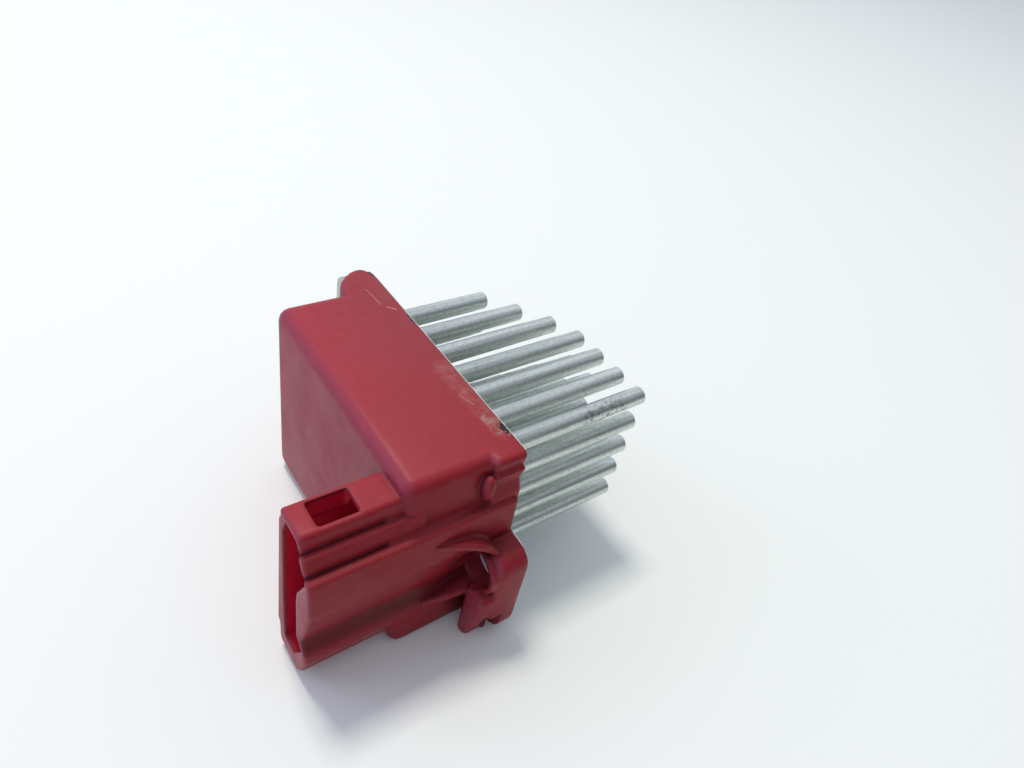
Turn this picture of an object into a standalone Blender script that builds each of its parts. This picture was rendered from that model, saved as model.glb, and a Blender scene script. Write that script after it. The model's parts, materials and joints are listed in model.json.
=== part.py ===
"""Blower motor resistor for a car heater: red plug housing on an aluminium pin heat sink.

Frame: the origin lies between the pins on the heat sink face that is screwed to the air duct.
+X points along the pins into the air flow, +Y towards the far screw ear, +Z up to the flush top.
Sizes are written in millimetres and turned into metres where a mesh is made.
In outlines, "along" is measured from the flange's near edge towards the far ear,
and "down" from the flush top.
"""
import math

import bmesh
import bpy

MILLIMETRE = 0.001
SEAT_GAP = 0.3
CUT_MARGIN = 1.0

# Where the origin lies in the flange
SEAT_TO_NEAR_EDGE = 31.0
SEAT_TO_TOP = 22.4

# Flange and screw ears
FLANGE_LENGTH = 58.3
FLANGE_HEIGHT = 46.8
FLANGE_DEPTH = 7.0
FLANGE_CORNER = 1.2
FLANGE_REAR_SOFTENING = 1.3
FLANGE_FRONT_SOFTENING = 0.5
EAR_REACH = 7.9
EAR_START = 21.6
EAR_ROUNDING = 6.0
EAR_END_ROUNDING = 4.5
EAR_HOLE_RADIUS = 4.6
EAR_RING_RADIUS = 5.7
EAR_RING_HEIGHT = 1.2
FAR_EAR_STEP = 1.5
WEB_THICKNESS = 1.4
WEB_LENGTH = 11.7
WEB_ROOT = 2.4
UPPER_WEB_START = 15.2
UPPER_WEB_REACH = 3.5
LOWER_WEB_START = 35.1
LOWER_WEB_REACH = 3.2
EAR_GROOVE_RADIUS = 1.7
EAR_GROOVE_SINK = 0.7
EAR_GROOVE_FROM_FACE = 5.2
EAR_GROOVE_LENGTH = 6.5
FOOT_LENGTH = 3.2
FOOT_WIDTH = 5.9
FOOT_HEIGHT = 16.0
FOOT_DROP = 0.7
FOOT_SLANT_RISE = 11.0
FOOT_SOLE = 3.0
FOOT_SOFTENING = 1.2
NUB_RADIUS = 1.5
NUB_HEIGHT = 6.2
NUB_DOWN = 6.3

# Box body behind the flange
BODY_DEPTH = 17.8
BODY_NEAR_INSET = 2.1
BODY_REAR_ROUNDING = 2.6
BODY_FAR_ROUNDING = 3.2
BODY_NEAR_ROUNDING = 2.4
WALL = 2.0
RIM = 3.4
CAVITY_CORNER = 1.2
LEDGE_DOWN = 11.3
LEDGE_REACH = 1.0
BELLY_REACH = 1.3
BELLY_RUN = 9.0
VALLEY_UP = 14.5

# Plug shroud
PLUG_LENGTH = 18.3
PLUG_TOP_DOWN = 2.8
PLUG_BOTTOM_UP = 1.1
PLUG_WALL = 1.2
PLUG_SOFTENING = 0.6
PLUG_NEAR_ALONG = 2.9
PLUG_FAR_ALONG = 12.6
PLUG_BULGE_STEP = 0.1
PLUG_TOP_STEP = 2.1
SOCKET_BOTTOM_UP = 4.6
PLUG_SOCKET_DEPTH = 15.5
LATCH_START = 3.6
LATCH_LENGTH = 7.7
LATCH_WIDTH = 5.6
LATCH_DEPTH = 4.6

# Heat sink, its plate lying in a recess of the flange
PLATE_THICKNESS = 1.6
PLATE_PROUD = 0.8
PLATE_INSET = 1.2
PLATE_NEAR_STEP = 1.0
SCREW_HOLE_RADIUS = 3.1
PEDESTAL_HEIGHT = 2.0
PIN_RADIUS = 2.15
PIN_TIP_RADIUS = 2.02
PIN_ROOT_FILLET = 0.5
PIN_TIP_CHAMFER = 0.35
PIN_PITCH_ALONG = 7.0
PIN_PITCH_DOWN = 7.41
PIN_SIDES = 16
PIN_LENGTHS = (34.8, 34.8, 34.8, 34.8, 31.8, 26.9, 21.6)
NEAR_PIN_COLUMNS = 4
TOP_PIN_ROWS = 3
PIN_ROWS = 5
OMITTED_PIN = (1, 1)

# Sealing bead in its groove
BEAD_WIDTH = 0.9
BEAD_HEIGHT = 1.2
BEAD_CORNER = 1.5

# Circuit board
BOARD_THICKNESS = 1.6
BOARD_EDGE_GAP = 1.0
BOARD_STANDOFF = 3.0
BOSS_RADIUS = 2.6
BOARD_SCREW_RADIUS = 1.2
BOARD_SCREW_HEAD_RADIUS = 2.4
BOARD_SCREW_HEAD_HEIGHT = 1.6
BOARD_SCREW_DEPTH = 2.2
BOARD_SCREW_INSET_ALONG = 9.3
BOARD_SCREW_INSET_DOWN = 4.2

# Power transistor and its clamp
TRANSISTOR_WIDTH = 15.8
TRANSISTOR_HEIGHT = 20.8
TRANSISTOR_BODY_DEPTH = 3.4
TRANSISTOR_TAB_DEPTH = 1.5
TRANSISTOR_FROM_FAR_EDGE = 24.3
TRANSISTOR_DOWN = 16.0
PAD_THICKNESS = 0.5
PAD_MARGIN = 1.0
LEG_WIDTH = 1.2
LEG_THICKNESS = 0.6
LEG_PITCH = 5.4
LEG_REACH = 1.6
CLAMP_THICKNESS = 0.8
CLAMP_WIDTH = 9.0
CLAMP_ARM = 9.0
CLAMP_LIFT = 4.0
CLAMP_SCREW_RADIUS = 1.5
CLAMP_SCREW_HEAD_RADIUS = 2.9
CLAMP_SCREW_HEAD_HEIGHT = 2.2

# Plug blades, placed about the middle of the shroud
BLADE_THICKNESS = 0.8
POWER_BLADE_WIDTH = 6.3
SIGNAL_BLADE_WIDTH = 2.8
POWER_BLADE_PITCH = 20.0
SIGNAL_BLADE_PITCH = 5.0
BLADE_REACH = 7.5
BLADE_TAPER = 0.6
BLADE_ALONG = 6.6

# Electronic parts: (height above the board, size along, size down)
PART_EDGE_GAP = 0.6
CAPACITOR_RADIUS = 5.0
CAPACITOR_LENGTH = 10.0
CAPACITOR_BUNG_LENGTH = 1.5
CAPACITOR_LEAD_RADIUS = 0.35
CAPACITOR_LEAD_PITCH = 5.0
CHOKE_RADIUS = 5.5
CHOKE_LENGTH = 8.8
CHOKE_WAIST_RADIUS = 2.4
CHOKE_FLANGE = 1.4
WINDING_RADIUS = 4.8
SHUNT_SIZE = (1.2, 5.0, 14.0)
SHUNT_DOWN = 17.0
SENSOR_SIZE = (1.8, 2.6, 4.2)
CHIP_SIZE = (1.6, 4.0, 5.0)
DIODE_SIZE = (2.2, 3.6, 4.6)
CHIP_RESISTOR_SIZE = (0.8, 3.2, 1.6)
CHIP_CAPACITOR_SIZE = (1.2, 3.0, 2.0)
PAIR_GAP = 0.6

# Bushes of the screw ears
FAR_HOLE_OUT = 4.1
FAR_HOLE_RADIUS = 3.4
BUSH_FLANGE_THICKNESS = 1.3
BUSH_FLANGE_MARGIN = 0.3
FAR_BUSH_WALL = 0.6
NEAR_BUSH_LENGTH = 2.2
NEAR_BUSH_WALL = 0.6
NEAR_BUSH_TO_CAVITY = 2.3

# Depths that follow from the sizes above
FLANGE_FACE = -PLATE_PROUD
SEAT_FACE = -(PLATE_THICKNESS + SEAT_GAP)
FLANGE_REAR = FLANGE_FACE - FLANGE_DEPTH
BODY_REAR = FLANGE_REAR - BODY_DEPTH
PLUG_FRONT = BODY_REAR - PLUG_LENGTH
SOCKET_FLOOR = PLUG_FRONT + PLUG_SOCKET_DEPTH
CAVITY_FLOOR = BODY_REAR + WALL
BOARD_REAR = CAVITY_FLOOR + BOARD_STANDOFF + SEAT_GAP
BOARD_FRONT = BOARD_REAR + BOARD_THICKNESS
PEDESTAL_FACE = -(PLATE_THICKNESS + PEDESTAL_HEIGHT)
EAR_HOLE_ALONG = EAR_ROUNDING - EAR_REACH
EAR_HOLE_DOWN = EAR_START + EAR_ROUNDING
NEAR_BUSH_ROOM = SCREW_HOLE_RADIUS + NEAR_BUSH_WALL + SEAT_GAP
TRANSISTOR_ALONG = FLANGE_LENGTH - TRANSISTOR_FROM_FAR_EDGE
PLUG_BOTTOM_DOWN = FLANGE_HEIGHT - PLUG_BOTTOM_UP

COLOURS = {
    "red_plastic": ((0.42, 0.10, 0.12), 0.45, 0.0),
    "aluminium": ((0.62, 0.63, 0.64), 0.38, 1.0),
    "steel": ((0.55, 0.55, 0.54), 0.35, 1.0),
    "tin": ((0.70, 0.69, 0.66), 0.30, 1.0),
    "copper": ((0.72, 0.43, 0.28), 0.35, 1.0),
    "rubber": ((0.03, 0.03, 0.03), 0.70, 0.0),
    "board": ((0.05, 0.20, 0.10), 0.45, 0.0),
    "black_resin": ((0.03, 0.03, 0.03), 0.50, 0.0),
    "grey_pad": ((0.45, 0.47, 0.50), 0.80, 0.0),
    "ferrite": ((0.12, 0.12, 0.12), 0.60, 0.0),
    "ceramic": ((0.62, 0.52, 0.38), 0.50, 0.0),
}


def material(name):
    """Principled material with the colour, roughness and metallic value of the piece."""
    if name in bpy.data.materials:
        return bpy.data.materials[name]
    colour, roughness, metallic = COLOURS[name]
    made = bpy.data.materials.new(name)
    made.use_nodes = True
    shader = made.node_tree.nodes["Principled BSDF"]
    shader.inputs["Base Color"].default_value = (*colour, 1.0)
    shader.inputs["Roughness"].default_value = roughness
    shader.inputs["Metallic"].default_value = metallic
    return made


def seat_y(along):
    """World Y in millimetres of a distance from the flange's near edge."""
    return along - SEAT_TO_NEAR_EDGE


def seat_z(down):
    """World Z in millimetres of a distance below the flush top."""
    return SEAT_TO_TOP - down


def rounded(corners, segments=4):
    """Outline through corners (a, b, radius), with an arc of the radius at each corner."""
    outline = []
    for index, (a, b, radius) in enumerate(corners):
        before = corners[index - 1]
        after = corners[(index + 1) % len(corners)]
        back = math.atan2(before[1] - b, before[0] - a)
        ahead = math.atan2(after[1] - b, after[0] - a)
        turn = (ahead - back + math.pi) % (2 * math.pi) - math.pi
        half = abs(turn) / 2
        if radius <= 0 or half > math.pi / 2 - 0.01:
            outline.append((a, b))
            continue
        room = 0.48 * min(math.dist((a, b), before[:2]), math.dist((a, b), after[:2]))
        radius = min(radius, room * math.tan(half))
        middle = back + turn / 2
        centre_a = a + math.cos(middle) * radius / math.sin(half)
        centre_b = b + math.sin(middle) * radius / math.sin(half)
        reach = math.copysign(math.pi / 2 - half, turn)
        for step in range(segments + 1):
            angle = middle + math.pi + reach * (1 - 2 * step / segments)
            outline.append((centre_a + radius * math.cos(angle), centre_b + radius * math.sin(angle)))
    return outline


def inset(corners, distance):
    """Corners moved inward by a distance, with radii that keep the rounding concentric."""
    area = 0.0
    for index, (a, b, _) in enumerate(corners):
        area += corners[index - 1][0] * b - a * corners[index - 1][1]
    side = math.copysign(1.0, area)
    moved = []
    for index, (a, b, radius) in enumerate(corners):
        before = corners[index - 1]
        after = corners[(index + 1) % len(corners)]
        into = math.atan2(b - before[1], a - before[0])
        out = math.atan2(after[1] - b, after[0] - a)
        normal_a = -side * (math.sin(into) + math.sin(out))
        normal_b = side * (math.cos(into) + math.cos(out))
        share = distance / (1 + math.cos(out - into))
        convex = side * math.sin(out - into) > 0
        softened = max(radius - distance, 0.05) if convex else radius + distance
        moved.append((a + normal_a * share, b + normal_b * share, softened))
    return moved


def circle(a, b, radius, sides=24):
    """Round outline about (a, b)."""
    angles = [2 * math.pi * step / sides for step in range(sides)]
    return [(a + radius * math.cos(angle), b + radius * math.sin(angle)) for angle in angles]


def rectangle(a0, a1, b0, b1, radius=0.0):
    """Corners of a rectangle, each with the same rounding."""
    return [(a0, b0, radius), (a1, b0, radius), (a1, b1, radius), (a0, b1, radius)]


def new_object(name, mesh, slot):
    """Object of a finished mesh with its material, parented to the part's empty."""
    made = bpy.data.objects.new(name, mesh)
    bpy.context.scene.collection.objects.link(made)
    made.parent = bpy.data.objects["blower_motor_resistor"]
    mesh.materials.append(material(slot))
    mesh.shade_smooth()
    mesh.set_sharp_from_angle(angle=math.radians(35))
    return made


def mesh_from(bm, name):
    """Close the edit mesh: faces outward, millimetres to metres."""
    bmesh.ops.recalc_face_normals(bm, faces=bm.faces)
    bmesh.ops.scale(bm, vec=(MILLIMETRE,) * 3, verts=bm.verts)
    mesh = bpy.data.meshes.new(name)
    bm.to_mesh(mesh)
    bm.free()
    return mesh


def prism(name, outline, start, end, slot, axis="X"):
    """Outline pulled along an axis."""
    spots = {
        "X": lambda a, b, c: (c, a, b),
        "Y": lambda a, b, c: (a, c, b),
        "Z": lambda a, b, c: (a, b, c),
    }
    bm = bmesh.new()
    base = bm.faces.new([bm.verts.new(spots[axis](a, b, start)) for a, b in outline])
    pulled = bmesh.ops.extrude_face_region(bm, geom=[base], use_keep_orig=True)
    top = [item for item in pulled["geom"] if isinstance(item, bmesh.types.BMVert)]
    shift = [0.0, 0.0, 0.0]
    shift["XYZ".index(axis)] = end - start
    bmesh.ops.translate(bm, vec=shift, verts=top)
    return new_object(name, mesh_from(bm, name), slot)


def rim(face, way, edge, segments=4):
    """Levels (x, inset) of a quarter round, from the full outline out to the face."""
    if edge == 0:
        return [(face, 0.0)]
    angles = [math.pi / 2 * step / segments for step in range(segments + 1)]
    return [(face + way * edge * (1 - math.sin(angle)), edge * (1 - math.cos(angle))) for angle in angles]


def soft_prism(name, corners, start, end, slot, edge, end_edge=0.0):
    """Corners pulled along X from start to end, with the rims of both faces rounded."""
    way = math.copysign(1.0, end - start)
    levels = rim(start, way, edge)[::-1] + rim(end, -way, end_edge)
    bm = bmesh.new()
    loops = []
    for level, distance in levels:
        outline = rounded(inset(corners, distance))
        loops.append([bm.verts.new((level, a, b)) for a, b in outline])
    bridge(bm, loops)
    bm.faces.new(loops[0])
    bm.faces.new(loops[-1])
    return new_object(name, mesh_from(bm, name), slot)


def bridge(bm, loops):
    """Bands of four-sided faces between loops of equal count."""
    for here, there in zip(loops, loops[1:]):
        for index in range(len(here)):
            after = (index + 1) % len(here)
            bm.faces.new((here[index], here[after], there[after], there[index]))


def block(name, low, high, slot):
    """Box between two corners."""
    outline = [(a, b) for a, b, _ in rectangle(low[1], high[1], low[2], high[2])]
    return prism(name, outline, low[0], high[0], slot)


def turned(name, profile, along_x, y, z, slot, sides=24):
    """Piece turned about an axis along X from (depth, radius) stations."""
    bm = bmesh.new()
    rings = []
    for depth, radius in profile:
        ring = [bm.verts.new((along_x + depth, a, b)) for a, b in circle(y, z, radius, sides)]
        rings.append(ring)
    bridge(bm, rings)
    bm.faces.new(rings[0])
    bm.faces.new(rings[-1])
    return new_object(name, mesh_from(bm, name), slot)


def ring(name, depth0, depth1, inner, outer, y, z, slot, sides=24):
    """Sleeve about an axis along X."""
    bm = bmesh.new()
    loops = []
    for depth, radius in ((depth0, inner), (depth0, outer), (depth1, outer), (depth1, inner)):
        loops.append([bm.verts.new((depth, a, b)) for a, b in circle(y, z, radius, sides)])
    bridge(bm, loops + loops[:1])
    return new_object(name, mesh_from(bm, name), slot)


def tube(name, path, radius, depth, slot, sides=12):
    """Round bar at one depth along a path of world (y, z) points."""
    bm = bmesh.new()
    loops = []
    for index, (y, z) in enumerate(path):
        before = path[max(index - 1, 0)]
        after = path[min(index + 1, len(path) - 1)]
        heading = math.atan2(after[1] - before[1], after[0] - before[0])
        loop = []
        for x, out in circle(depth, 0.0, radius, sides):
            loop.append(bm.verts.new((x, y - out * math.sin(heading), z + out * math.cos(heading))))
        loops.append(loop)
    bridge(bm, loops)
    bm.faces.new(loops[0])
    bm.faces.new(loops[-1])
    return new_object(name, mesh_from(bm, name), slot)


def combine(target, helper, operation):
    """Boolean of a helper body, which stays in the file as a hidden guide."""
    helper.hide_render = True
    helper.display_type = "WIRE"
    modifier = target.modifiers.new(helper.name, "BOOLEAN")
    modifier.operation = operation
    modifier.solver = "EXACT"
    modifier.object = helper


def turned_half(corners):
    """The same corners turned half a turn about the flange's centre."""
    return [(FLANGE_LENGTH - a, FLANGE_HEIGHT - d, radius) for a, d, radius in corners]


def placed(corners):
    """Corners (along, down, radius) in world Y and Z."""
    return [(seat_y(a), seat_z(d), radius) for a, d, radius in corners]


def ear_corners(edge):
    """Screw ear at the near edge, from where it leaves that edge down to its rounded end."""
    return [
        (edge, EAR_START, 1.5),
        (-EAR_REACH, EAR_START, EAR_ROUNDING),
        (-EAR_REACH, FLANGE_HEIGHT, EAR_END_ROUNDING),
    ]


def flange_corners():
    """Flange with both ears, and three small teeth on the upper near edge."""
    teeth = [
        (0.2, 0.0, FLANGE_CORNER),
        (0.9, 3.4, 0.3),
        (0.0, 3.9, 0.3),
        (0.9, 7.2, 0.4),
        (-0.1, 9.9, 0.8),
    ]
    far_half = turned_half([(0.0, 0.0, FLANGE_CORNER)] + ear_corners(0.0))
    return teeth + ear_corners(-0.4) + far_half


def plate_corners():
    """Outline for the plate: the flange without its teeth."""
    edge = PLATE_NEAR_STEP
    far_half = turned_half([(0.0, 0.0, FLANGE_CORNER)] + ear_corners(0.0))
    return [(edge, 0.0, FLANGE_CORNER)] + ear_corners(edge) + far_half


def bulge():
    """Ledge and belly that run along the near side of body and plug, down to the valley."""
    return [
        (-LEDGE_REACH, LEDGE_DOWN, 0.6),
        (-BELLY_REACH, LEDGE_DOWN + BELLY_RUN, 6.0),
        (BODY_NEAR_INSET, FLANGE_HEIGHT - VALLEY_UP, 3.0),
    ]


def body_corners():
    """Body outline: near side with its bulge, the far side flush with the flange."""
    near = BODY_NEAR_INSET
    top_near = [(near, 0.0, BODY_NEAR_ROUNDING), (near - 0.8, LEDGE_DOWN - 0.4, 0.4)]
    low_near = [
        (near - 1.7, FLANGE_HEIGHT - VALLEY_UP + 4.0, 3.0),
        (near - 1.9, FLANGE_HEIGHT, 1.5),
    ]
    far = [
        (FLANGE_LENGTH, FLANGE_HEIGHT, BODY_FAR_ROUNDING),
        (FLANGE_LENGTH, 0.0, BODY_FAR_ROUNDING),
    ]
    return top_near + bulge() + low_near + far


def plug_corners():
    """Outside of the plug shroud: steps and bulge near, stepped slanting far side."""
    near = PLUG_NEAR_ALONG
    far = PLUG_FAR_ALONG
    top = PLUG_TOP_DOWN
    bottom = PLUG_BOTTOM_DOWN
    steps = [
        (near, top, 1.0),
        (near - 0.1, top + 4.0, 0.3),
        (near - 1.5, top + 4.2, 0.5),
        (near - 2.0, LEDGE_DOWN - 0.3, 0.3),
    ]
    middle = [(a + PLUG_BULGE_STEP, d, radius) for a, d, radius in bulge()]
    low_near = [
        (near - 2.4, bottom - 10.0, 1.5),
        (near - 2.3, bottom - 7.5, 2.0),
        (near - 1.0, bottom - 3.0, 1.0),
        (near + 1.0, bottom, 1.0),
    ]
    far_side = [
        (far - 0.3, bottom, 1.5),
        (far - 0.2, bottom - 5.7, 0.3),
        (far + 0.6, bottom - 6.7, 0.4),
        (far - 1.3, top + 3.4, 0.5),
        (far - PLUG_TOP_STEP, top + 2.4, 0.3),
        (far - PLUG_TOP_STEP, top, 0.8),
    ]
    return steps + middle + low_near + far_side


def socket_corners():
    """Inside of the plug shroud, keyed by a bulge near the top and a cut bottom corner."""
    near = PLUG_NEAR_ALONG + PLUG_WALL
    far = PLUG_FAR_ALONG - PLUG_WALL
    top = PLUG_TOP_DOWN + PLUG_WALL
    bottom = PLUG_BOTTOM_DOWN - SOCKET_BOTTOM_UP
    return [
        (near - 0.5, top, 0.4),
        (near - 1.5, top + 3.9, 0.4),
        (near - 3.7, top + 8.0, 0.8),
        (near - 0.4, top + 14.4, 0.8),
        (near, top + 17.5, 0.6),
        (near, bottom - 8.4, 0.3),
        (near - 1.3, bottom - 7.0, 0.3),
        (near - 2.3, bottom - 5.6, 0.3),
        (near + 1.2, bottom, 0.8),
        (far - 1.8, bottom, 0.8),
        (far - 1.5, bottom - 13.0, 6.0),
        (far - 2.0, top + 3.7, 1.0),
        (far - 3.3, top, 0.6),
    ]


def web_form(name, start_down, end_down, bend, start_along, reach):
    """Web from the body wall to the ear's ring, bent by a power and deepening as it nears the ear."""
    tail = FLANGE_REAR - WEB_LENGTH
    inner = seat_y(BODY_NEAR_INSET + WALL / 2)
    steps = 8
    bm = bmesh.new()
    loops = []
    for step in range(steps + 1):
        share = step / steps
        x = tail + (WEB_LENGTH + WEB_ROOT) * share
        top = seat_z(start_down + (end_down - start_down) * share ** bend)
        outer = seat_y(start_along - reach * math.sin(share * math.pi / 2))
        under = top - WEB_THICKNESS
        section = ((inner, top), (outer, top), (outer, under), (inner, under))
        loops.append([bm.verts.new((x, y, z)) for y, z in section])
    bridge(bm, loops)
    bm.faces.new(loops[0])
    bm.faces.new(loops[-1])
    return new_object(name, mesh_from(bm, name), "red_plastic")


def ear_places():
    """World Y and Z of both screw holes, the near one first."""
    near = (EAR_HOLE_ALONG, EAR_HOLE_DOWN)
    far = (FLANGE_LENGTH + FAR_HOLE_OUT, FLANGE_HEIGHT - EAR_HOLE_DOWN)
    return [(seat_y(a), seat_z(d)) for a, d in (near, far)]


def blade_places():
    """Name, width and height of each plug blade."""
    middle = (PLUG_TOP_DOWN + PLUG_BOTTOM_DOWN) / 2
    kinds = (
        ("power_blade", POWER_BLADE_WIDTH, POWER_BLADE_PITCH),
        ("signal_blade", SIGNAL_BLADE_WIDTH, SIGNAL_BLADE_PITCH),
    )
    places = []
    for name, width, pitch in kinds:
        for index in range(2):
            places.append((f"{name}_{index + 1}", width, seat_z(middle + (index - 0.5) * pitch)))
    return places


def inner_rectangle(margin):
    """Near, far, top and bottom of the room inside the housing's rim, with a margin inside it."""
    near = EAR_HOLE_ALONG + NEAR_BUSH_ROOM + NEAR_BUSH_TO_CAVITY + margin
    far = FLANGE_LENGTH - RIM - margin
    return near, far, RIM + margin, FLANGE_HEIGHT - RIM - margin


def board_screw_places():
    """World Y and Z of the two board screws, in opposite corners of the board."""
    near, far, top, bottom = inner_rectangle(BOARD_EDGE_GAP)
    places = (
        (near + BOARD_SCREW_INSET_ALONG, bottom - BOARD_SCREW_INSET_DOWN),
        (far - BOARD_SCREW_INSET_ALONG, top + BOARD_SCREW_INSET_DOWN),
    )
    return [(seat_y(a), seat_z(d)) for a, d in places]


def cavity_corners(margin=0.0):
    """The hollow of the body, seen along X, with a margin inside it."""
    return placed(rectangle(*inner_rectangle(margin), CAVITY_CORNER))


def make_housing():
    """The one-piece red moulding."""
    housing = soft_prism(
        "housing", placed(flange_corners()), FLANGE_REAR, FLANGE_FACE, "red_plastic",
        FLANGE_REAR_SOFTENING, FLANGE_FRONT_SOFTENING)
    combine(housing, far_ear_step(), "DIFFERENCE")
    body = soft_prism(
        "body_form", placed(body_corners()), BODY_REAR, FLANGE_FACE - 2 * FLANGE_FRONT_SOFTENING,
        "red_plastic", BODY_REAR_ROUNDING)
    combine(housing, body, "UNION")
    plug = soft_prism(
        "plug_form", placed(plug_corners()), PLUG_FRONT, BODY_REAR + BODY_REAR_ROUNDING + WALL,
        "red_plastic", PLUG_SOFTENING)
    combine(housing, plug, "UNION")
    add_ear_details(housing)
    cut_front(housing)
    cut_plug(housing)
    cut_ears(housing)
    for index, (y, z) in enumerate(board_screw_places()):
        post = ring(
            f"board_post_form_{index + 1}", CAVITY_FLOOR - WALL / 2, CAVITY_FLOOR + BOARD_STANDOFF,
            BOARD_SCREW_RADIUS + SEAT_GAP, BOSS_RADIUS, y, z, "red_plastic")
        combine(housing, post, "UNION")
    return housing


def far_ear_step():
    """Cutter that lets the far ear's plug side in, so that the bush plate lies flush there."""
    low_down = FLANGE_HEIGHT - EAR_START + 2 * CUT_MARGIN
    low = (FLANGE_REAR - CUT_MARGIN, seat_y(FLANGE_LENGTH - CUT_MARGIN), seat_z(low_down))
    high = (
        FLANGE_REAR + FAR_EAR_STEP, seat_y(FLANGE_LENGTH + EAR_REACH + CUT_MARGIN), seat_z(-CUT_MARGIN))
    return block("far_ear_step_form", low, high, "red_plastic")


def add_ear_details(housing):
    """Ring, webs and foot of the near ear, and the nub above it."""
    y, z = ear_places()[0]
    boss = turned(
        "ear_ring_form", [(WALL, EAR_RING_RADIUS), (-EAR_RING_HEIGHT, EAR_RING_RADIUS)],
        FLANGE_REAR, y, z, "red_plastic")
    combine(housing, boss, "UNION")
    ring_top = EAR_HOLE_DOWN - EAR_RING_RADIUS
    ring_bottom = EAR_HOLE_DOWN + EAR_RING_RADIUS
    upper = web_form(
        "upper_web_form", UPPER_WEB_START, ring_top + WEB_THICKNESS / 4, 3, -BELLY_REACH, UPPER_WEB_REACH)
    combine(housing, upper, "UNION")
    lower_start = BODY_NEAR_INSET - WALL
    lower = web_form(
        "lower_web_form", LOWER_WEB_START, ring_bottom - WEB_THICKNESS, 1, lower_start, LOWER_WEB_REACH)
    combine(housing, lower, "UNION")
    low = FLANGE_HEIGHT + FOOT_DROP
    inner = FOOT_WIDTH - EAR_REACH
    foot = soft_prism(
        "foot_form",
        placed([
            (-EAR_REACH, low - FOOT_HEIGHT, 1.5), (-EAR_REACH, low - FOOT_SLANT_RISE, 4.0),
            (inner - FOOT_SOLE, low, 2.5), (inner, low, 1.3), (inner, low - FOOT_HEIGHT, 1.3)]),
        FLANGE_REAR - FOOT_LENGTH, FLANGE_REAR + 2 * FOOT_SOFTENING, "red_plastic",
        FOOT_SOFTENING, FOOT_SOFTENING)
    combine(housing, foot, "UNION")
    combine(housing, nub_form(), "UNION")


def nub_form():
    """Small rounded nub in the corner of flange and near wall."""
    bm = bmesh.new()
    bmesh.ops.create_uvsphere(bm, u_segments=14, v_segments=10, radius=1.0)
    bmesh.ops.scale(bm, vec=(NUB_RADIUS, NUB_RADIUS, NUB_HEIGHT / 2), verts=bm.verts)
    place = (FLANGE_REAR - NUB_RADIUS / 2, seat_y(NUB_RADIUS / 2), seat_z(NUB_DOWN))
    bmesh.ops.translate(bm, vec=place, verts=bm.verts)
    return new_object("nub_form", mesh_from(bm, "nub_form"), "red_plastic")


def cut_front(housing):
    """Recess for the plate, hollow of the body, and the groove for the sealing bead."""
    recess = prism(
        "recess_form", rounded(inset(placed(plate_corners()), PLATE_INSET - SEAT_GAP)),
        SEAT_FACE, FLANGE_FACE + CUT_MARGIN, "red_plastic")
    combine(housing, recess, "DIFFERENCE")
    cavity = prism(
        "cavity_form", rounded(cavity_corners()), CAVITY_FLOOR, SEAT_FACE + CUT_MARGIN, "red_plastic")
    combine(housing, cavity, "DIFFERENCE")
    groove = bead_body("groove_form", SEAT_GAP, CUT_MARGIN)
    combine(housing, groove, "DIFFERENCE")


def bead_body(name, clearance, reach):
    """Rectangular ring midway on the housing's rim, its section enlarged by a clearance."""
    land = RIM - PLATE_INSET + SEAT_GAP
    outer = -(land + BEAD_WIDTH) / 2 - clearance
    low = SEAT_FACE - BEAD_HEIGHT - clearance
    high = SEAT_FACE + reach
    width = BEAD_WIDTH + 2 * clearance
    bm = bmesh.new()
    loops = []
    for margin, level in ((outer, low), (outer, high), (outer + width, high), (outer + width, low)):
        outline = rounded(placed(rectangle(*inner_rectangle(margin), BEAD_CORNER)))
        loops.append([bm.verts.new((level, y, z)) for y, z in outline])
    bridge(bm, loops + loops[:1])
    return new_object(name, mesh_from(bm, name), "rubber")


def cut_plug(housing):
    """Socket, latch window and the slots that the blades pass through."""
    socket = prism(
        "socket_form", rounded(placed(socket_corners())), PLUG_FRONT - CUT_MARGIN, SOCKET_FLOOR,
        "red_plastic")
    combine(housing, socket, "DIFFERENCE")
    middle = seat_y((PLUG_NEAR_ALONG + PLUG_FAR_ALONG - PLUG_TOP_STEP) / 2)
    start = PLUG_FRONT + LATCH_START
    window = rounded(rectangle(
        start, start + LATCH_LENGTH, middle - LATCH_WIDTH / 2, middle + LATCH_WIDTH / 2, 0.6))
    top = seat_z(PLUG_TOP_DOWN)
    latch = prism("latch_form", window, top - LATCH_DEPTH, top + CUT_MARGIN, "red_plastic", axis="Z")
    combine(housing, latch, "DIFFERENCE")
    half_slot = BLADE_THICKNESS / 2 + SEAT_GAP
    y = seat_y(BLADE_ALONG)
    for name, width, z in blade_places():
        reach = width / 2 + SEAT_GAP
        low = (SOCKET_FLOOR - CUT_MARGIN, y - half_slot, z - reach)
        high = (CAVITY_FLOOR + CUT_MARGIN, y + half_slot, z + reach)
        combine(housing, block(f"{name}_slot_form", low, high, "red_plastic"), "DIFFERENCE")


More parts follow.
